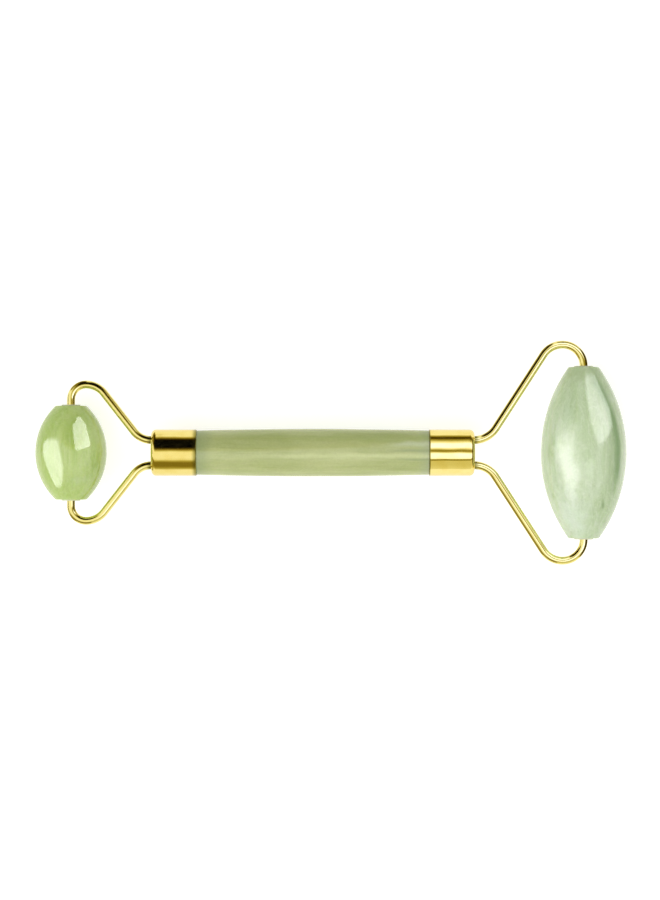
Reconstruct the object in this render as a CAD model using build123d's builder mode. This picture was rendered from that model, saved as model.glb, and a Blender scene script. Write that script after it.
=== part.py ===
from build123d import *
from math import cos, radians, sin
import os

# Double-ended jade face roller, in millimetres.
# The origin is the middle of the handle, on its axis. +X runs along the handle towards the large
# roller, +Y runs along both rollers' axles, and +Z is square to the flat plane of the wire forks.

# Handle: a polished rod, barrelled along its length, with both ends ground down to spigots.
handle_length = 57.0
handle_mid_radius = 5.87
handle_end_radius = 5.46
handle_edge_rounding = 0.15
spigot_length = 5.6
spigot_chamfer = 0.3

# Ferrules: deep-drawn brass cups glued over the spigots.
ferrule_length = 11.1
ferrule_radius = 5.7
ferrule_wall = 0.45
ferrule_end_wall = 0.6
ferrule_corner_radius = 1.2
ferrule_mouth_rounding = 0.12
wire_hole_clearance = 0.05
glue_film = 0.05

# Forks: round wire, bent as a hairpin whose legs pass through two holes in the ferrule's end.
wire_radius = 1.0
leg_offset = 3.1
leg_length = 1.0
stub_chamfer = 0.3

large_axle_reach = 26.8
large_spread_angle = 57.0
large_shoulder_radius = 6.2
large_hook_radius = 5.6
large_corner_radius = 5.2

small_axle_reach = 19.7
small_spread_angle = 52.0
small_shoulder_radius = 5.4
small_hook_radius = 5.6
small_corner_radius = 3.7

# Rollers: barrel-shaped stones, drilled right through for the bushes.
large_roller_length = 42.0
large_roller_radius = 10.5
large_roller_end_radius = 3.7

small_roller_length = 23.0
small_roller_radius = 8.8
small_roller_end_radius = 3.8

roller_edge_rounding = 0.45
roller_bore_radius = 1.9

# Bushes: blind nylon plugs pressed into each end of a roller's bore, with a thin thrust flange.
bush_length = 7.0
bush_floor = 0.8
bush_flange_radius = 2.3
bush_flange_thickness = 0.25
bush_lead_in = 0.25
running_clearance = 0.06
end_play = 0.15

# Worked out from the driving dimensions.
mouth_distance = handle_length / 2
ferrule_face_distance = mouth_distance + ferrule_length
ferrule_inner_radius = ferrule_radius - ferrule_wall
spigot_radius = ferrule_inner_radius - glue_film
inner_corner_radius = ferrule_corner_radius - ferrule_wall
bush_bore_radius = wire_radius + running_clearance
stub_depth = bush_length - bush_floor - end_play

LARGE_SIDE = 1
SMALL_SIDE = -1
UPPER = 1
LOWER = -1


def end_plane(side):
    """Plane at a ferrule's outer face: local x runs outwards along the handle, y along the axles."""
    return Plane(
        origin=(side * ferrule_face_distance, 0, 0), x_dir=(side, 0, 0), z_dir=(0, 0, side)
    )


def axle_x(side, reach):
    """Where a roller's axle crosses the handle's axis."""
    return side * (ferrule_face_distance + reach)


def save(piece, name):
    """Label a finished piece and write it as its own STEP file."""
    piece.part.label = name
    export_step(piece.part, f"parts/{name}.step")


def make_ferrule(side):
    """A thin cup with a rounded outer corner and two wire holes in its end wall."""
    with BuildPart() as ferrule:
        with BuildSketch(end_plane(side)):
            with BuildLine():
                Polyline(
                    (0, 0),
                    (0, ferrule_radius),
                    (-ferrule_length, ferrule_radius),
                    (-ferrule_length, ferrule_inner_radius),
                    (-ferrule_end_wall, ferrule_inner_radius),
                    (-ferrule_end_wall, 0),
                    close=True,
                )
            make_face()
        revolve(axis=Axis.X)
        rings = ferrule.edges().filter_by(Plane.YZ).sort_by(Axis.X, reverse=side < 0)
        mouth_rings = rings[:2]
        inner_corner = rings[2]
        outer_corner = rings[3]
        fillet(mouth_rings, ferrule_mouth_rounding)
        fillet(inner_corner, inner_corner_radius)
        fillet(outer_corner, ferrule_corner_radius)
        outer_face = Plane(origin=end_plane(side).origin, x_dir=(0, 1, 0), z_dir=(side, 0, 0))
        with Locations(outer_face):
            with GridLocations(2 * leg_offset, 0, 2, 1):
                Hole(wire_radius + wire_hole_clearance, depth=ferrule_end_wall)
    return ferrule


def make_fork(side, reach, roller_length, spread_angle, shoulder_radius, hook_radius, corner_radius):
    """One wire, bent flat: stub axle, hook, slanting arm, leg, U-bend, and the same again mirrored."""
    lean = radians(spread_angle)
    bend_sum = shoulder_radius + hook_radius
    arm_length = (reach - corner_radius - bend_sum * sin(lean)) / cos(lean)
    crest = leg_offset + bend_sum * (1 - cos(lean)) + arm_length * sin(lean)
    stub_tip = roller_length / 2 - stub_depth
    with BuildPart() as fork:
        with BuildLine(end_plane(side)) as wire_path:
            stub = Line((reach, stub_tip), (reach, crest - corner_radius))
            corner = JernArc(stub @ 1, stub % 1, corner_radius, 90)
            hook = JernArc(corner @ 1, corner % 1, hook_radius, spread_angle)
            arm = PolarLine(hook @ 1, arm_length, direction=hook % 1)
            shoulder = JernArc(arm @ 1, arm % 1, shoulder_radius, -spread_angle)
            leg = PolarLine(shoulder @ 1, leg_length, direction=shoulder % 1)
            JernArc(leg @ 1, leg % 1, leg_offset, 90)
            mirror(about=Plane.XZ)
        with BuildSketch(Plane(origin=stub @ 0, z_dir=stub % 0)):
            Circle(wire_radius)
        sweep(path=wire_path.wires()[0])
        stub_ends = fork.faces().filter_by(Axis.Y).filter_by(GeomType.PLANE)
        chamfer(stub_ends.edges(), stub_chamfer)
    return fork


def make_roller(side, reach, length, mid_radius, end_radius):
    """A barrel of stone turned about its axle, with softly rounded rims and a through bore."""
    centre = (axle_x(side, reach), 0, 0)
    with BuildPart() as roller:
        with BuildSketch(Plane(origin=centre)):
            with BuildLine():
                flank = ThreePointArc((end_radius, length / 2), (mid_radius, 0), (end_radius, -length / 2))
                Polyline(flank @ 1, (0, -length / 2), (0, length / 2), flank @ 0)
            make_face()
        revolve(axis=Axis(centre, (0, 1, 0)))
        fillet(roller.edges().filter_by(Plane.XZ), roller_edge_rounding)
        with Locations(Plane(origin=centre, z_dir=(0, 1, 0))):
            Hole(roller_bore_radius)
    return roller


def make_bush(side, reach, roller_length, end):
    """A blind plug: it fills one end of the roller's bore and carries one stub axle."""
    mouth = Plane(
        origin=(axle_x(side, reach), end * roller_length / 2, 0), x_dir=(1, 0, 0), z_dir=(0, 0, end)
    )
    with BuildPart() as bush:
        with BuildSketch(mouth):
            with BuildLine():
                Polyline(
                    (0, -bush_length),
                    (roller_bore_radius, -bush_length),
                    (roller_bore_radius, 0),
                    (bush_flange_radius, 0),
                    (bush_flange_radius, bush_flange_thickness),
                    (bush_bore_radius, bush_flange_thickness),
                    (bush_bore_radius, bush_floor - bush_length),
                    (0, bush_floor - bush_length),
                    close=True,
                )
            make_face()
        revolve(axis=Axis(mouth.origin, (0, 1, 0)))
        rims = bush.edges().filter_by(Plane.XZ).sort_by(Axis.Y, reverse=end < 0)
        chamfer(rims[0], bush_lead_in)
    return bush


def make_epoxy(side, fork):
    """The glue that fills a ferrule: round the wire's U-bend, and as a film round the spigot."""
    cavity_depth = ferrule_length - ferrule_end_wall
    with BuildPart() as epoxy:
        with BuildSketch(end_plane(side)):
            with Locations((-ferrule_length, 0)):
                Rectangle(cavity_depth, ferrule_inner_radius, align=(Align.MIN, Align.MIN))
        revolve(axis=Axis.X)
        deepest_ring = epoxy.edges().filter_by(Plane.YZ).sort_by(Axis.X, reverse=side < 0)[-1]
        fillet(deepest_ring, inner_corner_radius)
        add(handle.part, mode=Mode.SUBTRACT)
        add(fork.part, mode=Mode.SUBTRACT)
    return epoxy


os.makedirs("parts", exist_ok=True)

with BuildPart() as handle:
    with BuildSketch():
        with BuildLine():
            crown = ThreePointArc(
                (-mouth_distance, handle_end_radius),
                (0, handle_mid_radius),
                (mouth_distance, handle_end_radius),
            )
            Polyline(crown @ 1, (mouth_distance, 0), (-mouth_distance, 0), crown @ 0)
        make_face()
    revolve(axis=Axis.X)
    fillet(handle.edges().filter_by(Plane.YZ), handle_edge_rounding)
    for shoulder_face in handle.faces().filter_by(Axis.X):
        with BuildSketch(shoulder_face):
            Circle(spigot_radius)
        extrude(amount=spigot_length)
    spigot_ends = handle.edges().filter_by(Plane.YZ).group_by(Axis.X)
    chamfer(spigot_ends[0] + spigot_ends[-1], spigot_chamfer)
save(handle, "handle")

save(make_ferrule(LARGE_SIDE), "large_ferrule")
save(make_ferrule(SMALL_SIDE), "small_ferrule")

large_fork = make_fork(
    LARGE_SIDE,
    large_axle_reach,
    large_roller_length,
    large_spread_angle,
    large_shoulder_radius,
    large_hook_radius,
    large_corner_radius,
)
save(large_fork, "large_fork")

small_fork = make_fork(
    SMALL_SIDE,
    small_axle_reach,
    small_roller_length,
    small_spread_angle,
    small_shoulder_radius,
    small_hook_radius,
    small_corner_radius,
)
save(small_fork, "small_fork")

save(make_epoxy(LARGE_SIDE, large_fork), "large_ferrule_epoxy")
save(make_epoxy(SMALL_SIDE, small_fork), "small_ferrule_epoxy")

large_roller = make_roller(
    LARGE_SIDE, large_axle_reach, large_roller_length, large_roller_radius, large_roller_end_radius
)
save(large_roller, "large_roller")

small_roller = make_roller(
    SMALL_SIDE, small_axle_reach, small_roller_length, small_roller_radius, small_roller_end_radius
)
save(small_roller, "small_roller")

save(make_bush(LARGE_SIDE, large_axle_reach, large_roller_length, UPPER), "large_bush_upper")
save(make_bush(LARGE_SIDE, large_axle_reach, large_roller_length, LOWER), "large_bush_lower")
save(make_bush(SMALL_SIDE, small_axle_reach, small_roller_length, UPPER), "small_bush_upper")
save(make_bush(SMALL_SIDE, small_axle_reach, small_roller_length, LOWER), "small_bush_lower")
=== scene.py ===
import math

import bmesh
import bpy
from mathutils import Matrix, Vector, noise


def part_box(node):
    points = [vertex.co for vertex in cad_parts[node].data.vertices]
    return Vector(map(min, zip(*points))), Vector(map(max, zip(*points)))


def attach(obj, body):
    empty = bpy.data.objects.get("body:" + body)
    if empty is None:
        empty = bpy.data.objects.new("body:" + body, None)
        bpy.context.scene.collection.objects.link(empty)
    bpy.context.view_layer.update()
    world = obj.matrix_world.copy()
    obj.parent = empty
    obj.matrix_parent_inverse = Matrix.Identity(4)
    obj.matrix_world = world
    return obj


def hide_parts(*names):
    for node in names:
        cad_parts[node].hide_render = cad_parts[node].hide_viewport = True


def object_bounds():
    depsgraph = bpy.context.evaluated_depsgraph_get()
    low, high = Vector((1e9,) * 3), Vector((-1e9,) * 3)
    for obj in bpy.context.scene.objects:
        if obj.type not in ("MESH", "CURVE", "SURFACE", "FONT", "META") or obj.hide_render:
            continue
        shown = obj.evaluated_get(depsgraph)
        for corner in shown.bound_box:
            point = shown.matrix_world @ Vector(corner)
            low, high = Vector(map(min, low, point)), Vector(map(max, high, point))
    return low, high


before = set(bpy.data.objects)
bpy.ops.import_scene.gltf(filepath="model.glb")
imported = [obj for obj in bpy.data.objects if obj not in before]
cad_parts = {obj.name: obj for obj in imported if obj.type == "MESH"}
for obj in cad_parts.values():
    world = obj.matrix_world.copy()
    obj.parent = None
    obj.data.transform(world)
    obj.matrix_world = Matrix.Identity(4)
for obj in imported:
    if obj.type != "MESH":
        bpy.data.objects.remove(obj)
cad_low, cad_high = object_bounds()

MM = 0.001

# Shape values that the frame's boxes don't give, the same as in the CAD part.
WIRE_RADIUS = 1.0 * MM
LEG_OFFSET = 3.1 * MM
LEG_LENGTH = 1.0 * MM
STUB_TO_PLUG_END = 0.95 * MM
STUB_CHAMFER = 0.3 * MM
HANDLE_END_RADIUS = 5.46 * MM
HANDLE_EDGE_ROUNDING = 0.15 * MM
SPIGOT_RADIUS = 5.2 * MM
SPIGOT_CHAMFER = 0.3 * MM
FERRULE_WALL = 0.45 * MM
FERRULE_END_WALL = 0.6 * MM
FERRULE_CORNER = 1.2 * MM
FERRULE_MOUTH_ROUNDING = 0.12 * MM
WIRE_HOLE_RADIUS = 1.05 * MM
WIRE_HOLE_LIP = 0.12 * MM
ROLLER_RIM_ROUNDING = 0.45 * MM
ROLLER_BORE_RADIUS = 1.9 * MM

# How finely round shapes are drawn, in sides per turn.
HANDLE_SIDES = 160
CUP_SIDES = 192
HOLE_SIDES = 48
WIRE_SIDES = 40
STONE_SIDES = 192
TENT_SIDES = 96

ENDS = {
    "large": {
        "side": 1,
        "end_radius": 3.7 * MM,
        "spread": 57.0,
        "shoulder": 6.2 * MM,
        "hook": 5.6 * MM,
        "corner": 5.2 * MM,
    },
    "small": {
        "side": -1,
        "end_radius": 3.8 * MM,
        "spread": 52.0,
        "shoulder": 5.4 * MM,
        "hook": 5.6 * MM,
        "corner": 3.7 * MM,
    },
}

# The studio: a long lens straight above, a white floor, a soft fill and key, and cards to mirror.
LENS = 135.0
SENSOR = 36.0
FRAME_HEIGHT = 220.7 * MM
CAMERA_PLACE = Vector((4.2 * MM, 0.65 * MM, FRAME_HEIGHT * LENS / SENSOR))
FLOOR_HALF_WIDTH = 4.0
FLOOR_GLOW = 0.25
FLOOR_GLOW_TO_CAMERA = 0.48
FILL_LEVEL = 0.62
KEY_PLACE = (-0.25, -0.38, 0.7)
KEY_SIZE = 0.9
KEY_POWER = 3.4
FLAG_PLACE = Vector((-45 * MM, 77 * MM, 79 * MM))
FLAG_RADIUS = 79 * MM
CARD_DISTANCE = 18 * MM
REACH_SLACK = 2.5 * MM
GRID_CUT_OFF = math.cos(math.radians(28))
GRID_OPEN = math.cos(math.radians(10))

# The tents: radius, then lowest and highest x. Left and right levels blend within TENT_BLEND of x = 0.
GOLD_TENT = (0.45, (-1.2, 0.62))
STONE_TENT = (0.5, (-1.2, 1.2))
TENT_BLEND = 20 * MM

# Light levels on the tents by lean in degrees from straight up, + towards +Y. Level 1 is white.
GOLD_LEFT = [
    (-180, 1.0), (-97, 1.0), (-80, 0.36), (-70, 0.22), (-50, 0.22), (-44, 0.42), (-34, 0.9), (-25, 1.0),
    (100, 1.0), (180, 1.0),
]
GOLD_RIGHT = [
    (-180, 1.0), (-92, 1.1), (-84, 0.8), (-60, 0.7), (-42, 0.7), (-37, 0.2), (-33, 0.45), (-28, 1.4),
    (-6, 1.5), (-2, 1.2), (4, 0.38), (11, 0.3), (20, 1.0), (26, 1.5), (44, 1.5), (56, 0.9), (66, 0.38),
    (75, 0.07), (81, 0.06), (92, 0.45), (99, 1.05), (180, 1.0),
]
STONE = [
    (-180, 1.15), (-110, 1.0), (-80, 0.7), (-50, 0.8), (-28, 1.7), (12, 1.7), (35, 1.2), (60, 0.6),
    (90, 0.4), (120, 0.8), (180, 1.15),
]

# Dimmer patches on the tents: x, reach along x, lean, reach in lean, level. The last one of each
# list is the tent's end wall.
GOLD_PANELS = [
    (-0.43, 0.36, 88.0, 45.0, 0.2),
    (-0.6, 0.28, -105.0, 45.0, 0.3),
    (0.096, 0.024, 76.0, 24.0, 0.1),
    (-0.16, 0.1, 65.0, 45.0, 0.05),
    (0.8, 0.36, 0.0, 360.0, 0.06),
]
STONE_PANELS = [(1.2, 0.02, 0.0, 360.0, 0.2)]

# Softboxes: end of the part, level, share of the card that fades at its edge, and the patch of the
# stone that mirrors it, as rows of (tilt along the axle, turn round it from, turn to) in degrees.
SOFTBOXES = {
    "small_window": (
        "small",
        5.2,
        0.15,
        [
            (15.5, -37, -20), (7, -49, -14), (-2, -49, -9), (-13, -43, -6), (-25, -36, -9),
            (-35.5, -28, -17),
        ],
    ),
    "small_lamp": (
        "small",
        5.6,
        0.08,
        [(35, 19, 23), (29, 12, 32), (25.5, 6, 36), (20.7, 5.5, 36), (6.1, 9.5, 38.5), (1.4, 11, 15)],
    ),
    "large_window": (
        "large",
        3.7,
        0.35,
        [
            (22, -42, -18), (10, -47, -9), (3, -48, -13), (-2, -46, -12), (-8, -39, -3), (-16, -37, -12),
            (-26, -34, -19),
        ],
    ),
    "large_lamp": (
        "large",
        3.8,
        0.07,
        [(34, -2, 27), (24, 0, 35), (17.7, 2.5, 42), (10.2, 7.5, 41), (7.5, 9.5, 33), (3.2, 16, 20)],
    ),
}


# ---------------------------------------------------------------- mesh building


def finish_mesh(name, bm, sharp_angle=35.0):
    """Turn a bmesh into a smooth-shaded object with sharp edges where the surface really turns."""
    bmesh.ops.remove_doubles(bm, verts=bm.verts, dist=1e-7)
    bmesh.ops.recalc_face_normals(bm, faces=bm.faces)
    mesh = bpy.data.meshes.new(name)
    bm.to_mesh(mesh)
    bm.free()
    mesh.shade_smooth()
    mesh.set_sharp_from_angle(angle=math.radians(sharp_angle))
    piece = bpy.data.objects.new(name, mesh)
    bpy.context.scene.collection.objects.link(piece)
    return piece


def arc_points(centre, radius, start, end, steps):
    """Points of an arc in the (along, radius) plane, from one angle to another, in degrees."""
    points = []
    for i in range(steps + 1):
        angle = math.radians(start + (end - start) * i / steps)
        points.append((centre[0] + radius * math.cos(angle), centre[1] + radius * math.sin(angle)))
    return points


def line_points(start, end, steps):
    """Evenly spaced points from start towards end, both included."""
    return [
        (start[0] + (end[0] - start[0]) * i / steps, start[1] + (end[1] - start[1]) * i / steps)
        for i in range(steps + 1)
    ]


def lathe(bm, profile, place, segments, closed=False, ripple=None):
    """Spin a profile of (along, radius) points; place(along, across, up) puts each in the frame."""
    rings = []
    for along, radius in profile:
        if radius < 1e-9:
            rings.append([bm.verts.new(place(along, 0.0, 0.0))])
            continue
        ring = []
        for k in range(segments):
            angle = 2 * math.pi * k / segments
            shown = radius
            if ripple:
                shown += ripple(along, angle, radius)
            ring.append(bm.verts.new(place(along, shown * math.cos(angle), shown * math.sin(angle))))
        rings.append(ring)
    pairs = list(zip(rings, rings[1:]))
    if closed:
        pairs.append((rings[-1], rings[0]))
    for a, b in pairs:
        for k in range(segments):
            after = (k + 1) % segments
            corners = [a[k % len(a)], a[after % len(a)], b[after % len(b)], b[k % len(b)]]
            distinct = list(dict.fromkeys(corners))
            if len(distinct) > 2:
                bm.faces.new(distinct)
    return rings


def along_x(side, origin):
    """Placer for shapes turned about the handle's axis, running outwards from origin."""
    return lambda along, across, up: (origin + side * along, across, up)


def along_y(x):
    """Placer for shapes turned about an axle that crosses the handle's axis at x."""
    return lambda along, across, up: (x + across, along, up)


def skin_noise(along, angle, wave, twist, start=0.0):
    """Smooth noise on a turned surface, one wave long; twist sets how fast it changes round it."""
    return noise.noise(Vector((along / wave + start, math.cos(angle) * twist, math.sin(angle) * twist)))


# ---------------------------------------------------------------- the pieces


def build_handle():
    """The jade rod: a barrelled grip with a rounded shoulder and a plain spigot at each end."""
    low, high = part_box("handle")
    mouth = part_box("large_ferrule")[0].x
    mid_radius = high.z
    sag = mid_radius - HANDLE_END_RADIUS
    crown_radius = (mouth**2 + sag**2) / (2 * sag)
    rounding = HANDLE_EDGE_ROUNDING
    tip_radius = SPIGOT_RADIUS - SPIGOT_CHAMFER
    profile = [(low.x, 0.0), (low.x, tip_radius)]
    profile += line_points((low.x + SPIGOT_CHAMFER, SPIGOT_RADIUS), (-mouth, SPIGOT_RADIUS), 6)
    edge = HANDLE_END_RADIUS - rounding
    profile += arc_points((-mouth + rounding, edge), rounding, 180, 90, 6)
    crown_steps = 180
    for i in range(1, crown_steps):
        x = (-1 + 2 * i / crown_steps) * (mouth - rounding)
        profile.append((x, mid_radius - crown_radius + math.sqrt(crown_radius**2 - x**2)))
    profile += arc_points((mouth - rounding, edge), rounding, 90, 0, 6)
    profile += line_points((mouth, SPIGOT_RADIUS), (high.x - SPIGOT_CHAMFER, SPIGOT_RADIUS), 6)
    profile += [(high.x, tip_radius), (high.x, 0.0)]

    def ripple(along, angle, radius):
        """A hand-ground rod is a hundredth or two of a millimetre off true."""
        if abs(along) > mouth - rounding:
            return 0.0
        fade = 1 - (abs(along) / mouth) ** 6
        return (skin_noise(along, angle, 11 * MM, 1.3) * 0.035 - 0.02) * MM * fade

    bm = bmesh.new()
    lathe(bm, profile, along_x(1, 0.0), HANDLE_SIDES, ripple=ripple)
    return finish_mesh("handle_stone", bm)


def hole_rings(bm, place, along, radius):
    """Rings of vertices for both wire holes at one depth; returns them as {+1: ring, -1: ring}."""
    rings = {}
    for sign in (1, -1):
        ring = []
        for k in range(HOLE_SIDES):
            angle = 2 * math.pi * k / HOLE_SIDES
            across = sign * LEG_OFFSET + radius * math.cos(angle)
            ring.append(bm.verts.new(place(along, across, radius * math.sin(angle))))
        rings[sign] = ring
    return rings


def join_rings(bm, a, b):
    """Faces between two rings of the same count."""
    for k in range(len(a)):
        after = (k + 1) % len(a)
        bm.faces.new((a[k], a[after], b[after], b[k]))


def ring_edges(bm, ring):
    """The edges that run round a ring, made if they are missing."""
    edges = []
    for k in range(len(ring)):
        pair = (ring[k], ring[(k + 1) % len(ring)])
        edges.append(bm.edges.get(pair) or bm.edges.new(pair))
    return edges


def build_ferrule(end):
    """A thin drawn cup: rounded mouth, slightly wavy wall, soft corner and two holes for the wire."""
    side = ENDS[end]["side"]
    low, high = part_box(f"{end}_ferrule")
    outer_radius = high.z
    length = high.x - low.x
    face_x = high.x if side > 0 else low.x
    inner_radius = outer_radius - FERRULE_WALL
    inner_corner = FERRULE_CORNER - FERRULE_WALL
    flat = outer_radius - FERRULE_CORNER
    lip = FERRULE_MOUTH_ROUNDING
    profile = arc_points((-FERRULE_CORNER, flat), FERRULE_CORNER, 0, 90, 16)
    profile += line_points((-FERRULE_CORNER, outer_radius), (-length + lip, outer_radius), 60)[1:]
    profile += arc_points((-length + lip, outer_radius - lip), lip, 90, 180, 5)[1:]
    profile += arc_points((-length + lip, inner_radius + lip), lip, 180, 270, 5)
    inner_end = -FERRULE_END_WALL - inner_corner
    profile += line_points((-length + lip, inner_radius), (inner_end, inner_radius), 12)[1:]
    profile += arc_points((inner_end, inner_radius - inner_corner), inner_corner, 90, 0, 8)[1:]

    def ripple(along, angle, radius):
        """Drawing leaves the thin wall a little uneven; inner and outer skins move together."""
        if radius < inner_radius - lip:
            return 0.0
        fade = min(1.0, -along / (2 * FERRULE_CORNER))
        return skin_noise(along, angle, 3.2 * MM, 2.1, start=side * 7.3) * 0.022 * MM * fade

    bm = bmesh.new()
    place = along_x(side, face_x)
    rings = lathe(bm, profile, place, CUP_SIDES, ripple=ripple)
    front_lip = hole_rings(bm, place, 0.0, WIRE_HOLE_RADIUS + WIRE_HOLE_LIP)
    front = hole_rings(bm, place, -WIRE_HOLE_LIP, WIRE_HOLE_RADIUS)
    back = hole_rings(bm, place, -FERRULE_END_WALL, WIRE_HOLE_RADIUS)
    for sign in (1, -1):
        join_rings(bm, front_lip[sign], front[sign])
        join_rings(bm, front[sign], back[sign])
    for rim, holes in ((rings[0], front_lip), (rings[-1], back)):
        loops = ring_edges(bm, rim) + ring_edges(bm, holes[1]) + ring_edges(bm, holes[-1])
        bmesh.ops.triangle_fill(bm, use_beauty=True, use_dissolve=False, edges=loops)
    return finish_mesh(f"{end}_ferrule_cup", bm)


def fork_centreline(end):
    """Points and headings of the bent wire, from one stub's tip round to the other's."""
    spec = ENDS[end]
    side = spec["side"]
    low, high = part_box(f"{end}_ferrule")
    face_x = high.x if side > 0 else low.x
    reach = abs(axle_x(end) - face_x)
    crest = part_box(f"{end}_fork")[1].y - WIRE_RADIUS
    stub_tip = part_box(f"{end}_bush_upper")[0].y + STUB_TO_PLUG_END
    spread = math.radians(spec["spread"])
    bends = spec["shoulder"] + spec["hook"]
    arm = (reach - spec["corner"] - bends * math.sin(spread)) / math.cos(spread)
    # Each run is (length, turn in degrees, bend radius); a straight run has no turn.
    half = [
        (crest - spec["corner"] - stub_tip, 0.0, None),
        (None, 90.0, spec["corner"]),
        (None, spec["spread"], spec["hook"]),
        (arm, 0.0, None),
        (None, -spec["spread"], spec["shoulder"]),
        (LEG_LENGTH, 0.0, None),
    ]
    runs = half + [(None, 180.0, LEG_OFFSET)] + half[::-1]
    at = Vector((reach, stub_tip))
    heading = math.pi / 2
    points = [(at.copy(), heading)]
    for length, turn, radius in runs:
        steps = max(2, round(abs(turn) / 3)) if radius else max(2, round(length / (0.6 * MM)))
        for _ in range(steps):
            if radius:
                step_turn = math.radians(turn) / steps
                chord = 2 * radius * math.sin(abs(step_turn) / 2)
                heading += step_turn / 2
                at = at + Vector((math.cos(heading), math.sin(heading))) * chord
                heading += step_turn / 2
            else:
                at = at + Vector((math.cos(heading), math.sin(heading))) * (length / steps)
            points.append((at.copy(), heading))
    return [(face_x + side * p.x, p.y, side * math.cos(h), math.sin(h)) for p, h in points]


def build_fork(end):
    """The wire: a round bar swept along its centreline, with the stub ends chamfered and closed."""
    first, *middle, last = fork_centreline(end)
    tip_radius = WIRE_RADIUS - STUB_CHAMFER
    # Each station is (place and heading, radius, how far it is moved on along the heading).
    stations = [(first, tip_radius, 0.0), (first, WIRE_RADIUS, STUB_CHAMFER)]
    stations += [(point, WIRE_RADIUS, 0.0) for point in middle]
    stations += [(last, WIRE_RADIUS, -STUB_CHAMFER), (last, tip_radius, 0.0)]
    bm = bmesh.new()
    rings = []
    for (x, y, tx, ty), radius, shift in stations:
        x += tx * shift
        y += ty * shift
        ring = []
        for k in range(WIRE_SIDES):
            angle = 2 * math.pi * k / WIRE_SIDES
            across = radius * math.cos(angle)
            ring.append(bm.verts.new((x - ty * across, y + tx * across, radius * math.sin(angle))))
        rings.append(ring)
    for a, b in zip(rings, rings[1:]):
        join_rings(bm, a, b)
    bm.faces.new(rings[0])
    bm.faces.new(rings[-1])
    return finish_mesh(f"{end}_fork_wire", bm)


def axle_x(end):
    """Where an end's axle crosses the handle's axis."""
    low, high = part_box(f"{end}_roller")
    return (low.x + high.x) / 2


def barrel_shape(end):
    """A roller's widest radius, half length and the radius of its long flank."""
    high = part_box(f"{end}_roller")[1]
    mid_radius, half = high.z, high.y
    drop = mid_radius - ENDS[end]["end_radius"]
    return mid_radius, half, (drop**2 + half**2) / (2 * drop)


def build_roller(end):
    """A turned and hand-polished barrel of jade with soft rims and a drilled bore."""
    mid_radius, half, flank = barrel_shape(end)
    flank_centre = mid_radius - flank
    rim = ROLLER_RIM_ROUNDING
    rim_centre = flank_centre + math.sqrt((flank - rim) ** 2 - (half - rim) ** 2)
    rim_angle = math.degrees(math.atan2(half - rim, rim_centre - flank_centre))
    profile = line_points((-half, ROLLER_BORE_RADIUS), (half, ROLLER_BORE_RADIUS), 24)
    profile += line_points((half, ROLLER_BORE_RADIUS), (half, rim_centre), 8)[1:-1]
    profile += arc_points((half - rim, rim_centre), rim, 0, 90 - rim_angle, 12)
    profile += arc_points((0.0, flank_centre), flank, 90 - rim_angle, 90 + rim_angle, 120)[1:-1]
    profile += arc_points((rim - half, rim_centre), rim, 90 + rim_angle, 180, 12)
    profile += line_points((-half, rim_centre), (-half, ROLLER_BORE_RADIUS), 8)[1:-1]

    def ripple(along, angle, radius):
        """Hand polishing leaves soft flats a few hundredths of a millimetre deep."""
        if radius < rim_centre:
            return 0.0
        fade = 1 - (abs(along) / half) ** 8
        return (skin_noise(along, angle, 9 * MM, 1.7, start=half * 300) * 0.07 - 0.04) * MM * fade

    bm = bmesh.new()
    lathe(bm, profile, along_y(axle_x(end)), STONE_SIDES, closed=True, ripple=ripple)
    return finish_mesh(f"{end}_roller_stone", bm)


# ---------------------------------------------------------------- materials


def set_inputs(tree, node, inputs):
    """Fill a node's sockets, by name or number, with values or with other nodes' outputs."""
    for key, value in inputs.items():
        if isinstance(value, bpy.types.NodeSocket):
            tree.links.new(value, node.inputs[key])
        else:
            node.inputs[key].default_value = value


def add(tree, kind, inputs=None, **properties):
    """Add a node with its properties and inputs set."""
    node = tree.nodes.new(kind)
    for key, value in properties.items():
        setattr(node, key, value)
    set_inputs(tree, node, inputs or {})
    return node


def maths(tree, operation, *values):
    """A Math node's output."""
    return add(tree, "ShaderNodeMath", dict(enumerate(values)), operation=operation).outputs[0]


def remap(tree, value, low, high, to_low=0.0, to_high=1.0):
    """value eased from low..high to to_low..to_high, held at both ends."""
    inputs = {"Value": value, 1: low, 2: high, 3: to_low, 4: to_high}
    node = add(tree, "ShaderNodeMapRange", inputs, interpolation_type="SMOOTHSTEP")
    return node.outputs["Result"]


def ease(tree, value, start, end):
    """0 where value is at start, 1 where it is at end; end may be below start."""
    if start < end:
        return remap(tree, value, start, end)
    return remap(tree, value, end, start, 1.0, 0.0)


def blend_colour(tree, factor, a, b):
    """Mix two colours, which may be tuples or sockets."""
    return add(tree, "ShaderNodeMix", {0: factor, 6: a, 7: b}, data_type="RGBA").outputs[2]


def tint_over(tree, under, over, mask, strength):
    """The colour over laid on the colour under, as far as the mask and the strength let it."""
    return blend_colour(tree, maths(tree, "MULTIPLY", mask, strength), under, over)


def grain(tree, stretch, size, shift=(0.0, 0.0, 0.0), detail=4.0, distortion=0.0, rough=0.5):
    """Noise in object space; size is the feature size in metres and stretch lengthens it per axis."""
    coordinates = add(tree, "ShaderNodeTexCoord").outputs["Object"]
    scale = tuple(1 / (size * s) for s in stretch)
    mapping = add(tree, "ShaderNodeMapping", {"Vector": coordinates, "Location": shift, "Scale": scale})
    inputs = {
        "Vector": mapping.outputs[0],
        "Scale": 1.0,
        "Detail": detail,
        "Roughness": rough,
        "Distortion": distortion,
    }
    return add(tree, "ShaderNodeTexNoise", inputs).outputs[0]


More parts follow.
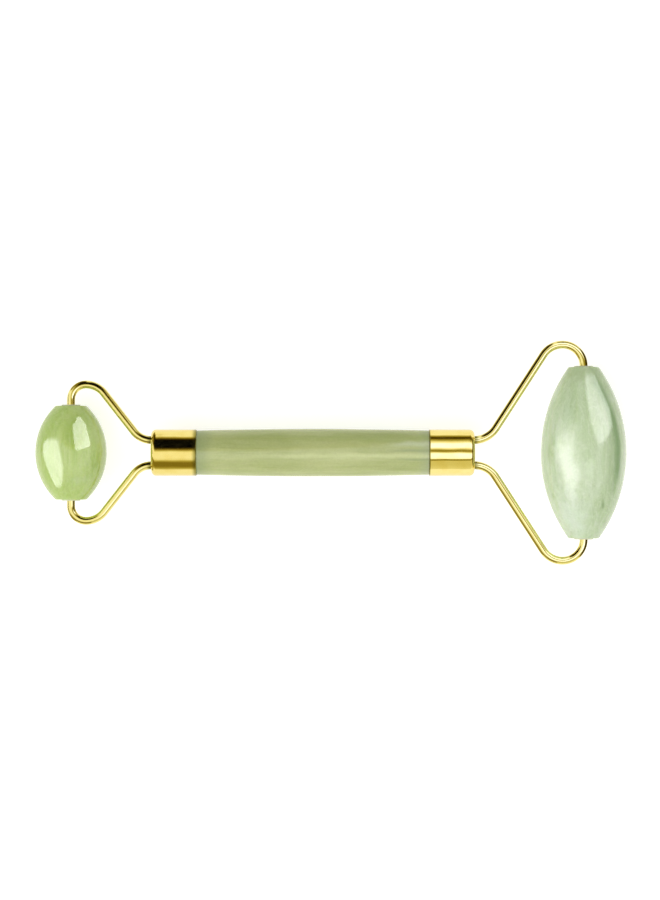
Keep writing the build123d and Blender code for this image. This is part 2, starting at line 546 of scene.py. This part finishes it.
def start_material(name):
    """A new node material and its Principled shader."""
    material = bpy.data.materials.new(name)
    material.use_nodes = True
    return material, material.node_tree, material.node_tree.nodes["Principled BSDF"]


def plane_mask(tree, normal, offset, width, wobble, *fades):
    """1 on a wavy plane through the stone, falling to 0 at width either side; lengths in metres.

    Each fade is (axis number, from, to): the mask also grows from nothing to full between those places.
    """
    coordinates = add(tree, "ShaderNodeTexCoord").outputs["Object"]
    across = add(tree, "ShaderNodeVectorMath", {0: coordinates, 1: normal}, operation="DOT_PRODUCT")
    distance = maths(tree, "SUBTRACT", across.outputs["Value"], offset)
    wave = maths(tree, "SUBTRACT", grain(tree, (1, 1, 1), 4.0 * MM, detail=3.0), 0.5)
    distance = maths(tree, "ADD", distance, maths(tree, "MULTIPLY", wave, wobble))
    mask = remap(tree, maths(tree, "ABSOLUTE", distance), 0.0, width, 1.0, 0.0)
    split = add(tree, "ShaderNodeSeparateXYZ", {0: coordinates})
    for axis, start, end in fades:
        mask = maths(tree, "MULTIPLY", mask, ease(tree, split.outputs[axis], start, end))
    return mask


def spot_mask(tree, place, reach):
    """1 at a place in the stone, falling to 0 at reach (metres along x, y and z) from it."""
    coordinates = add(tree, "ShaderNodeTexCoord").outputs["Object"]
    scale = tuple(1 / r for r in reach)
    shift = tuple(-p / r for p, r in zip(place, reach))
    mapping = add(tree, "ShaderNodeMapping", {"Vector": coordinates, "Location": shift, "Scale": scale})
    ruffle = maths(tree, "SUBTRACT", grain(tree, (1, 1, 1), 1.5 * MM, detail=4.0), 0.5)
    length = add(tree, "ShaderNodeVectorMath", {0: mapping.outputs[0]}, operation="LENGTH")
    ruffled = maths(tree, "ADD", length.outputs["Value"], ruffle)
    return remap(tree, ruffled, 0.1, 1.0, 1.0, 0.0)


def jade(name, along, seed, middle, pale, deep, veil, shares, polish, features=()):
    """Polished jade.

    Cloudy body colour, lengthwise streaks and pale veins; shares says how strongly each shows.
    features are (mask maker, arguments, colour, strength) for one-off bands and inclusions, and for
    painted shade and painted highlights.
    """
    material, tree, shader = start_material(name)
    long_way = tuple(3.5 if axis == along else 1.0 for axis in "xyz")
    very_long = tuple(14.0 if axis == along else 1.0 for axis in "xyz")
    shift = (seed * 3.1, seed * 5.7, seed * 1.9)

    clouds = grain(tree, long_way, 5.0 * MM, shift, detail=3.0, distortion=0.6)
    cloud_mask = remap(tree, clouds, 0.34, 0.68)
    colour = tint_over(tree, middle, pale, cloud_mask, shares["tinted_spot"])

    streaks = grain(tree, very_long, 1.2 * MM, shift, detail=5.0, distortion=0.35, rough=0.6)
    streak_mask = remap(tree, streaks, 0.44, 0.72)
    colour = tint_over(tree, colour, deep, streak_mask, shares["streak"])

    wisps = grain(tree, long_way, 2.6 * MM, (seed, seed * 2.3, seed * 4.1), detail=6.0, distortion=1.4)
    ridge = maths(tree, "ABSOLUTE", maths(tree, "SUBTRACT", wisps, 0.5))
    vein_mask = remap(tree, ridge, 0.0, 0.045, 1.0, 0.0)
    colour = tint_over(tree, colour, veil, vein_mask, shares["vein"])

    for mask_maker, arguments, shade, strength in features:
        colour = tint_over(tree, colour, (*shade, 1), mask_maker(tree, *arguments), strength)

    fine = grain(tree, (1, 1, 1), 0.5 * MM, shift, detail=3.0)
    tone = remap(tree, fine, 0.25, 0.75, 0.965, 1.035)
    toned = add(tree, "ShaderNodeHueSaturation", {"Color": colour, "Value": tone}).outputs[0]

    buffing = grain(tree, (1, 1, 1), 3.0 * MM, shift, detail=5.0)
    roughness = remap(tree, buffing, 0.3, 0.75, polish[0], polish[1])
    pits = maths(tree, "MULTIPLY", maths(tree, "SUBTRACT", fine, buffing), 0.5)
    bump = add(tree, "ShaderNodeBump", {"Height": pits, "Strength": 0.05, "Distance": 0.05 * MM})
    set_inputs(
        tree,
        shader,
        {
            "Base Color": toned,
            "Roughness": roughness,
            "IOR": 1.62,
            "Subsurface Weight": 0.45,
            "Subsurface Radius": (0.75, 1.0, 0.5),
            "Subsurface Scale": 1.8 * MM,
            "Normal": bump.outputs[0],
        },
    )
    return material


def gold(name, marks, tints, painted_shade=None):
    """Polished gold plate, mottled between two tints, with faint buffing marks along one axis.

    The last argument is (from, to, strength): distances from the part's middle over which the plating
    goes from dull and dark to bright, at a cup's cut mouth and where a wire enters its cup. The
    darkening there is painted shade, and the dulling a rougher finish.
    """
    material, tree, shader = start_material(name)
    stretch = tuple(22.0 if axis == marks else 1.0 for axis in "xyz")
    lines = grain(tree, stretch, 0.22 * MM, detail=4.0)
    patches = grain(tree, (1, 1, 1), 2.5 * MM, (4.0, 1.0, 7.0), detail=4.0)
    tint = blend_colour(tree, remap(tree, patches, 0.35, 0.75), *tints)
    scratched = remap(tree, lines, 0.3, 0.75, 0.06, 0.11)
    handled = remap(tree, patches, 0.45, 0.8, 0.0, 0.05)
    roughness = maths(tree, "ADD", scratched, handled)
    if painted_shade:
        coordinates = add(tree, "ShaderNodeTexCoord").outputs["Object"]
        split = add(tree, "ShaderNodeSeparateXYZ", {0: coordinates})
        from_middle = maths(tree, "ABSOLUTE", split.outputs[0])
        start, end, strength = painted_shade
        shaded = remap(tree, from_middle, start, end, 1.0, 0.0)
        # Painted shade: the plating's colour darkened next to these joints.
        tint = tint_over(tree, tint, (0.22, 0.2, 0.02, 1), shaded, strength)
        roughness = maths(tree, "ADD", roughness, maths(tree, "MULTIPLY", shaded, 0.12))
    bump = add(tree, "ShaderNodeBump", {"Height": lines, "Strength": 0.04, "Distance": 0.02 * MM})
    set_inputs(
        tree,
        shader,
        {"Base Color": tint, "Metallic": 1.0, "Roughness": roughness, "Normal": bump.outputs[0]},
    )
    return material


def nylon():
    """Natural nylon, slightly waxy."""
    material, tree, shader = start_material("nylon_natural")
    mottle = grain(tree, (1, 1, 1), 0.6 * MM, detail=3.0)
    mask = remap(tree, mottle, 0.3, 0.7)
    colour = blend_colour(tree, mask, (0.66, 0.66, 0.47, 1), (0.74, 0.74, 0.56, 1))
    bump = add(tree, "ShaderNodeBump", {"Height": mottle, "Strength": 0.15, "Distance": 0.03 * MM})
    set_inputs(
        tree,
        shader,
        {
            "Base Color": colour,
            "Roughness": remap(tree, mottle, 0.2, 0.8, 0.38, 0.5),
            "Normal": bump.outputs[0],
        },
    )
    return material


def epoxy():
    """Cast amber adhesive with small trapped bubbles."""
    material, tree, shader = start_material("epoxy_amber")
    coordinates = add(tree, "ShaderNodeTexCoord").outputs["Object"]
    cells = add(tree, "ShaderNodeTexVoronoi", {"Vector": coordinates, "Scale": 1 / (0.9 * MM)})
    bubble = remap(tree, cells.outputs["Distance"], 0.1, 0.2, 1.0, 0.0)
    colour = blend_colour(tree, bubble, (0.62, 0.47, 0.22, 1), (0.82, 0.72, 0.5, 1))
    set_inputs(tree, shader, {"Base Color": colour, "Roughness": remap(tree, bubble, 0, 1, 0.12, 0.3)})
    return material


# How far from the part's middle both cups start and end.
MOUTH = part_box("large_ferrule")[0].x
CUP_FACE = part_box("large_ferrule")[1].x


def grip_streak(y, width, wobble, start, full, colour, strength):
    """A streak along the grip at y, all in mm: it starts at x = start and is full at x = full."""
    fade = (0, start * MM, full * MM)
    return plane_mask, ((0, 1, 0), y * MM, width * MM, wobble * MM, fade), colour, strength


def shade_by_cup(x, width, colour, strength):
    """Painted shade: the stone drawn greyer and darker where a metal cup backs it at x; width in mm."""
    return plane_mask, ((1, 0, 0), x, width * MM, 2.0 * MM), colour, strength


def tinted_spot(end, place, reach, colour, strength):
    """A tinted spot in a roller, in mm from where its axle crosses the handle's axis. It draws the
    stone's clouds and inclusions, and also painted shade and a painted highlight.
    """
    centre = (axle_x(end) + place[0] * MM, place[1] * MM, place[2] * MM)
    return spot_mask, (centre, tuple(r * MM for r in reach)), colour, strength


def slanted_dark_band():
    """The large roller's dark band: it crosses the stone at a slant and fades past the middle."""
    x = axle_x("large")
    normal = (-0.401, -0.052, 0.915)
    offset = normal[0] * x + 3.2 * MM
    fades = (1, -11.0 * MM, -3.0 * MM), (0, x, x + 2.5 * MM)
    return plane_mask, (normal, offset, 2.0 * MM, 0.8 * MM, *fades), (0.28, 0.43, 0.19), 0.8


HANDLE_JADE = jade(
    "jade_handle",
    along="x",
    seed=1.0,
    middle=(0.455, 0.505, 0.205, 1),
    pale=(0.545, 0.585, 0.27, 1),
    deep=(0.34, 0.4, 0.12, 1),
    veil=(0.61, 0.66, 0.35, 1),
    shares={"tinted_spot": 0.6, "streak": 0.5, "vein": 0.12},
    polish=(0.1, 0.2),
    features=[
        shade_by_cup(MOUTH, 3.5, (0.38, 0.44, 0.27), 0.5),
        shade_by_cup(-MOUTH, 5.0, (0.33, 0.39, 0.18), 0.8),
        # A pale line along the grip just below its middle is a painted highlight, the mirror image of an
        # overhead light; a darker green streak runs above it.
        grip_streak(-0.8, 1.0, 0.8, -18.0, -2.0, (0.68, 0.73, 0.37), 0.5),
        grip_streak(3.6, 1.4, 1.6, -26.0, 4.0, (0.35, 0.43, 0.12), 0.45),
        # Short streaks by the large roller's cup.
        grip_streak(2.1, 1.0, 0.7, 16.0, 24.0, (0.6, 0.66, 0.42), 0.75),
        grip_streak(0.5, 0.6, 0.5, 17.0, 24.0, (0.33, 0.39, 0.17), 0.9),
        grip_streak(-1.7, 0.5, 0.5, 18.0, 25.0, (0.34, 0.4, 0.17), 0.8),
    ],
)
LARGE_JADE = jade(
    "jade_large_roller",
    along="y",
    seed=2.0,
    middle=(0.54, 0.67, 0.4, 1),
    pale=(0.65, 0.75, 0.545, 1),
    deep=(0.42, 0.55, 0.27, 1),
    veil=(0.78, 0.85, 0.67, 1),
    shares={"tinted_spot": 0.8, "streak": 0.5, "vein": 0.25},
    polish=(0.08, 0.2),
    features=[
        slanted_dark_band(),
        # The stone is drawn a stronger green at its +Y end as painted shade, with two milky clouds, a
        # painted highlight and a small dark inclusion.
        # Painted shade: darker green at the +Y end, the side away from the key light.
        tinted_spot("large", (-1.0, 20.0, 4.0), (7.0, 5.0, 7.0), (0.42, 0.53, 0.26), 0.7),
        # Painted highlight: a small pale spot near the top of the stone.
        tinted_spot("large", (0.9, -3.8, 10.2), (1.7, 4.0, 3.0), (0.72, 0.84, 0.6), 0.7),
        tinted_spot("large", (-3.5, -15.0, 5.0), (7.0, 9.0, 8.0), (0.76, 0.85, 0.7), 0.6),
        tinted_spot("large", (-4.4, -3.0, 8.0), (5.5, 14.0, 7.0), (0.8, 0.87, 0.7), 0.55),
        tinted_spot("large", (4.2, -12.6, 7.1), (0.6, 2.0, 1.0), (0.27, 0.38, 0.18), 0.7),
    ],
)
SMALL_JADE = jade(
    "jade_small_roller",
    along="y",
    seed=3.0,
    middle=(0.455, 0.6, 0.165, 1),
    pale=(0.515, 0.635, 0.225, 1),
    deep=(0.35, 0.5, 0.09, 1),
    veil=(0.58, 0.67, 0.33, 1),
    shares={"tinted_spot": 0.9, "streak": 0.5, "vein": 0.25},
    polish=(0.05, 0.1),
    features=[
        tinted_spot("small", (2.0, -6.0, 5.5), (4.0, 3.0, 3.0), (0.53, 0.64, 0.35), 0.5),
        tinted_spot("small", (6.0, 3.5, 5.5), (5.0, 9.0, 6.0), (0.62, 0.76, 0.3), 0.65),
    ],
)
CUP_TINTS = ((0.96, 0.79, 0.26, 1), (0.93, 0.74, 0.21, 1))
# Painted shade darkens each cup by its mouth, and the wire where it enters the cups.
CUP_GOLD = {
    "large": gold("gold_large_ferrule", "x", CUP_TINTS, (MOUTH + 0.1 * MM, MOUTH + 0.35 * MM, 0.85)),
    "small": gold("gold_small_ferrule", "x", CUP_TINTS, (MOUTH + 0.1 * MM, MOUTH + 1.3 * MM, 0.85)),
}
WIRE_TINTS = ((0.95, 0.84, 0.32, 1), (0.91, 0.78, 0.27, 1))
WIRE_GOLD = gold("gold_wire", "y", WIRE_TINTS, (CUP_FACE, CUP_FACE + 1.5 * MM, 0.9))
NYLON = nylon()
EPOXY = epoxy()


# ---------------------------------------------------------------- pieces on their bodies


# What each set of cards is shown to: the stones by name, and the gold with the bushes beside it.
stones = {}
gold_lit = []

handle = build_handle()
handle.data.materials.append(HANDLE_JADE)
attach(handle, "handle")
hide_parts("handle")
stones["handle"] = handle

for end, stone in (("large", LARGE_JADE), ("small", SMALL_JADE)):
    cup = build_ferrule(end)
    cup.data.materials.append(CUP_GOLD[end])
    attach(cup, "handle")
    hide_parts(f"{end}_ferrule")

    wire = build_fork(end)
    wire.data.materials.append(WIRE_GOLD)
    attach(wire, "handle")
    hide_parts(f"{end}_fork")
    gold_lit += [cup, wire]

    roller = build_roller(end)
    roller.data.materials.append(stone)
    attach(roller, f"{end}_roller")
    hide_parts(f"{end}_roller")
    stones[end] = roller

    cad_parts[f"{end}_ferrule_epoxy"].data.materials.clear()
    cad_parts[f"{end}_ferrule_epoxy"].data.materials.append(EPOXY)
    for place in ("upper", "lower"):
        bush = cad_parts[f"{end}_bush_{place}"]
        bush.data.materials.clear()
        bush.data.materials.append(NYLON)
        gold_lit.append(bush)


# ---------------------------------------------------------------- stage, lights and camera


# What polished surfaces mirror is painted on large cards. Only mirror reflections see the cards, and
# light linking shows each card to its own pieces: the gold and the stones are lit apart, as in a
# studio where each is flagged on its own.


def show_only_in_reflections(card, receivers):
    """Hide a card from everything but mirror rays, and link it to its pieces."""
    for ray in ("camera", "diffuse", "transmission", "volume_scatter", "shadow"):
        setattr(card, f"visible_{ray}", False)
    group = bpy.data.collections.new(f"{card.name}_receivers")
    for piece in receivers:
        group.objects.link(piece)
    card.light_linking.receiver_collection = group


def card_object(name, bm):
    """An object from a bmesh, with the faces as they are."""
    mesh = bpy.data.meshes.new(name)
    bm.to_mesh(mesh)
    bm.free()
    card = bpy.data.objects.new(name, mesh)
    bpy.context.scene.collection.objects.link(card)
    return card


def see_through(name):
    """A material that glows and lets what is behind it through, with its tree and both shaders."""
    material = bpy.data.materials.new(name)
    material.use_nodes = True
    tree = material.node_tree
    tree.nodes.clear()
    emission = add(tree, "ShaderNodeEmission")
    clear = add(tree, "ShaderNodeBsdfTransparent")
    both = add(tree, "ShaderNodeAddShader", {0: emission.outputs[0], 1: clear.outputs[0]})
    add(tree, "ShaderNodeOutputMaterial", {0: both.outputs[0]})
    return material, tree, emission, clear


def warm_white(tree, level):
    """The light at a level on what the gold mirrors: the dimmer, the more amber."""
    green = maths(tree, "POWER", level, 1.15)
    blue = maths(tree, "POWER", level, 2.5)
    return add(tree, "ShaderNodeCombineColor", {0: level, 1: green, 2: blue}).outputs[0]


def soft_white(tree, level):
    """The light at a level on the stones' tent."""
    blue = maths(tree, "MULTIPLY", level, 0.9)
    return add(tree, "ShaderNodeCombineColor", {0: level, 1: level, 2: blue}).outputs[0]


def lean_ramp(tree, lean, levels):
    """The level at a lean, from a list of (degrees, level) that starts at -180 and ends at 180."""
    turn = maths(tree, "DIVIDE", maths(tree, "ADD", lean, 180.0), 360.0)
    ramp = add(tree, "ShaderNodeValToRGB", {0: turn})
    stops = ramp.color_ramp.elements
    for number, (degrees, level) in enumerate(levels):
        place = (degrees + 180) / 360
        stop = stops[number] if number < len(stops) else stops.new(place)
        stop.position = place
        stop.color = (level, level, level, 1.0)
    ramp.color_ramp.interpolation = "EASE"
    return ramp.outputs[0]


def build_tent(name, receivers, radius, ends, sides, panels, colour_of):
    """A closed tube of light round the handle's axis.

    ends are its lowest and highest x, sides the levels by lean on the left and right half, and panels
    the dimmer patches on it.
    """
    bm = bmesh.new()
    angles = [2 * math.pi * k / TENT_SIDES for k in range(TENT_SIDES)]
    rings = []
    for x in ends:
        rings.append([bm.verts.new((x, radius * math.sin(a), radius * math.cos(a))) for a in angles])
    join_rings(bm, *rings)
    for ring in rings:
        bm.faces.new(ring)
    tent = card_object(name, bm)
    show_only_in_reflections(tent, receivers)

    material, tree, emission, _ = see_through(name)
    position = add(tree, "ShaderNodeNewGeometry").outputs["Position"]
    split = add(tree, "ShaderNodeSeparateXYZ", {0: position})
    lean = maths(tree, "DEGREES", maths(tree, "ARCTAN2", split.outputs[1], split.outputs[2]))
    rightward = remap(tree, split.outputs[0], -TENT_BLEND, TENT_BLEND)
    left, right = (lean_ramp(tree, lean, levels) for levels in sides)
    level = blend_colour(tree, rightward, left, right)
    for x_place, x_reach, lean_place, lean_reach, shade in panels:
        off_x = maths(tree, "ABSOLUTE", maths(tree, "SUBTRACT", split.outputs[0], x_place))
        off_lean = maths(tree, "ABSOLUTE", maths(tree, "SUBTRACT", lean, lean_place))
        inside_x = remap(tree, off_x, 0.7 * x_reach, x_reach, 1.0, 0.0)
        inside_lean = remap(tree, off_lean, 0.7 * lean_reach, lean_reach, 1.0, 0.0)
        covered = maths(tree, "MULTIPLY", inside_x, inside_lean)
        level = blend_colour(tree, covered, level, (shade, shade, shade, 1.0))
    plain_level = add(tree, "ShaderNodeSeparateColor", {0: level}).outputs[0]
    tree.links.new(colour_of(tree, plain_level), emission.inputs[0])
    tent.data.materials.append(material)


def build_dark_flag(receivers):
    """A soft-edged dark ball above the left half: it puts the black streaks on the gold."""
    bm = bmesh.new()
    bmesh.ops.create_icosphere(bm, subdivisions=5, radius=FLAG_RADIUS)
    for face in bm.faces:
        face.smooth = True
    bmesh.ops.translate(bm, verts=bm.verts, vec=FLAG_PLACE)
    flag = card_object("dark_flag", bm)
    show_only_in_reflections(flag, receivers)
    material, tree, emission, clear = see_through("dark_flag")
    emission.inputs[1].default_value = 0.0
    facing = add(tree, "ShaderNodeLayerWeight", {0: 0.5}).outputs["Facing"]
    back = add(tree, "ShaderNodeNewGeometry").outputs["Backfacing"]
    passed = maths(tree, "MAXIMUM", remap(tree, facing, 0.1, 0.69), back)
    tree.links.new(warm_white(tree, passed), clear.inputs[0])
    flag.data.materials.append(material)


def softbox_line(end, row, columns):
    """Where a softbox must stand so that a row of points on a roller mirrors it to the camera.

    Returns a list of (place, way to it from its point on the roller).
    """
    mid_radius, _, flank = barrel_shape(end)
    centre = Vector((axle_x(end), 0, 0))
    tilt, turn_from, turn_to = (math.radians(angle) for angle in row)
    out = flank * math.cos(tilt) - (flank - mid_radius)
    line = []
    for i in range(columns + 1):
        turn = turn_from + (turn_to - turn_from) * i / columns
        outward = Vector((math.sin(turn), 0, math.cos(turn)))
        normal = outward * math.cos(tilt) + Vector((0, math.sin(tilt), 0))
        foot = centre + outward * out + Vector((0, flank * math.sin(tilt), 0))
        view = (CAMERA_PLACE - foot).normalized()
        seen = 2 * normal.dot(view) * normal - view
        line.append((foot + seen * CARD_DISTANCE, seen))
    return line


def build_softbox(name, roller, end, level, softness, rows):
    """A card shaped so that its mirror image covers a chosen patch of a roller.

    A honeycomb grid holds the light to the way each point is aimed, and a mirror ray of another
    length than the camera's is dimmed, so low views don't catch it.
    """
    columns = 12
    steps = 6
    fine_rows = []
    for row, after in zip(rows, rows[1:]):
        for i in range(steps):
            fine_rows.append([a + (b - a) * i / steps for a, b in zip(row, after)])
    fine_rows.append(rows[-1])
    lines = [softbox_line(end, row, columns) for row in fine_rows]
    bm = bmesh.new()
    fade = bm.loops.layers.uv.new("fade")
    aim = bm.verts.layers.float_vector.new("aim")
    grid = []
    for number, line in enumerate(lines):
        grid.append([])
        for i, (place, seen) in enumerate(line):
            corner = bm.verts.new(place)
            corner[aim] = -seen
            grid[-1].append((corner, (i / columns, number / (len(lines) - 1))))
    for line, after in zip(grid, grid[1:]):
        for i in range(columns):
            corners = [line[i], line[i + 1], after[i + 1], after[i]]
            face = bm.faces.new([corner for corner, _ in corners])
            for loop, (_, place) in zip(face.loops, corners):
                loop[fade].uv = place
    card = card_object(name, bm)
    show_only_in_reflections(card, [roller])
    material, tree, emission, _ = see_through(name)
    painted = add(tree, "ShaderNodeUVMap", uv_map="fade").outputs[0]
    place = add(tree, "ShaderNodeSeparateXYZ", {0: painted})
    incoming = add(tree, "ShaderNodeNewGeometry").outputs["Incoming"]
    aimed = add(tree, "ShaderNodeAttribute", attribute_name="aim").outputs["Vector"]
    along = add(tree, "ShaderNodeVectorMath", {0: incoming, 1: aimed}, operation="DOT_PRODUCT")
    inside = remap(tree, along.outputs["Value"], GRID_CUT_OFF, GRID_OPEN)
    travelled = add(tree, "ShaderNodeLightPath").outputs["Ray Length"]
    off = maths(tree, "ABSOLUTE", maths(tree, "SUBTRACT", travelled, CARD_DISTANCE))
    inside = maths(tree, "MULTIPLY", inside, remap(tree, off, REACH_SLACK, 2 * REACH_SLACK, 1.0, 0.0))
    for axis in (0, 1):
        value = place.outputs[axis]
        nearest = maths(tree, "MINIMUM", value, maths(tree, "SUBTRACT", 1.0, value))
        inside = maths(tree, "MULTIPLY", inside, remap(tree, nearest, 0.0, softness, 0.0, 1.0))
    tree.links.new(maths(tree, "MULTIPLY", inside, level), emission.inputs[1])
    card.data.materials.append(material)


def build_floor():
    """A plain white floor. It lights the part from below only a little, and casts nothing on it."""
    mesh = bpy.data.meshes.new("floor")
    signs = ((-1, -1), (1, -1), (1, 1), (-1, 1))
    corners = [(x * FLOOR_HALF_WIDTH, y * FLOOR_HALF_WIDTH, cad_low.z) for x, y in signs]
    mesh.from_pydata(corners, [], [(0, 1, 2, 3)])
    floor = bpy.data.objects.new("floor", mesh)
    bpy.context.scene.collection.objects.link(floor)
    floor.visible_glossy = False
    floor.visible_shadow = False
    material, tree, shader = start_material("floor_white")
    seen = add(tree, "ShaderNodeLightPath").outputs["Is Camera Ray"]
    set_inputs(
        tree,
        shader,
        {
            "Base Color": (0.9, 0.9, 0.89, 1),
            "Roughness": 0.8,
            "Specular IOR Level": 0.0,
            "Emission Color": (1, 1, 1, 1),
            "Emission Strength": remap(tree, seen, 0.0, 1.0, FLOOR_GLOW, FLOOR_GLOW_TO_CAMERA),
        },
    )
    material.cycles.emission_sampling = "NONE"
    floor.data.materials.append(material)


def build_world():
    """White to the camera, a soft fill from above for matt light, and nothing in mirror rays."""
    world = bpy.data.worlds.new("studio")
    bpy.context.scene.world = world
    world.use_nodes = True
    tree = world.node_tree
    tree.nodes.clear()
    direction = add(tree, "ShaderNodeTexCoord").outputs["Generated"]
    split = add(tree, "ShaderNodeSeparateXYZ", {0: direction})
    above = maths(tree, "GREATER_THAN", split.outputs[2], 0.0)
    path = add(tree, "ShaderNodeLightPath")
    matt = maths(tree, "MULTIPLY", above, maths(tree, "SUBTRACT", 1.0, path.outputs["Is Glossy Ray"]))
    fill = maths(tree, "MULTIPLY", matt, FILL_LEVEL)
    strength = maths(tree, "ADD", fill, path.outputs["Is Camera Ray"])
    background = add(tree, "ShaderNodeBackground", {0: (1.0, 1.0, 0.99, 1.0), 1: strength})
    add(tree, "ShaderNodeOutputWorld", {0: background.outputs[0]})


def area_light(name, place, aim, size, power):
    """A soft square lamp that lights matt surfaces but isn't mirrored."""
    lamp = bpy.data.lights.new(name, "AREA")
    lamp.shape = "SQUARE"
    lamp.size = size
    lamp.energy = power
    holder = bpy.data.objects.new(name, lamp)
    holder.location = place
    holder.rotation_euler = (Vector(aim) - Vector(place)).to_track_quat("-Z", "Y").to_euler()
    holder.visible_camera = False
    holder.visible_glossy = False
    bpy.context.scene.collection.objects.link(holder)


def build_camera():
    """Straight above the part, on a long lens, framed like a catalogue picture."""
    camera_data = bpy.data.cameras.new("camera")
    camera_data.lens = LENS
    camera_data.sensor_width = SENSOR
    camera_data.clip_start = 0.01
    camera_data.clip_end = 20.0
    camera = bpy.data.objects.new("camera", camera_data)
    camera.location = CAMERA_PLACE
    bpy.context.scene.collection.objects.link(camera)
    bpy.context.scene.camera = camera


build_floor()
build_tent("gold_tent", gold_lit, *GOLD_TENT, (GOLD_LEFT, GOLD_RIGHT), GOLD_PANELS, warm_white)
build_tent("stone_tent", list(stones.values()), *STONE_TENT, (STONE, STONE), STONE_PANELS, soft_white)
build_dark_flag(gold_lit)
for softbox, (end, level, softness, rows) in SOFTBOXES.items():
    build_softbox(softbox, stones[end], end, level, softness, rows)
build_world()
area_light("key_front_left", KEY_PLACE, (0, 0, 0), KEY_SIZE, KEY_POWER)
build_camera()
bpy.context.scene.view_settings.view_transform = "Standard"
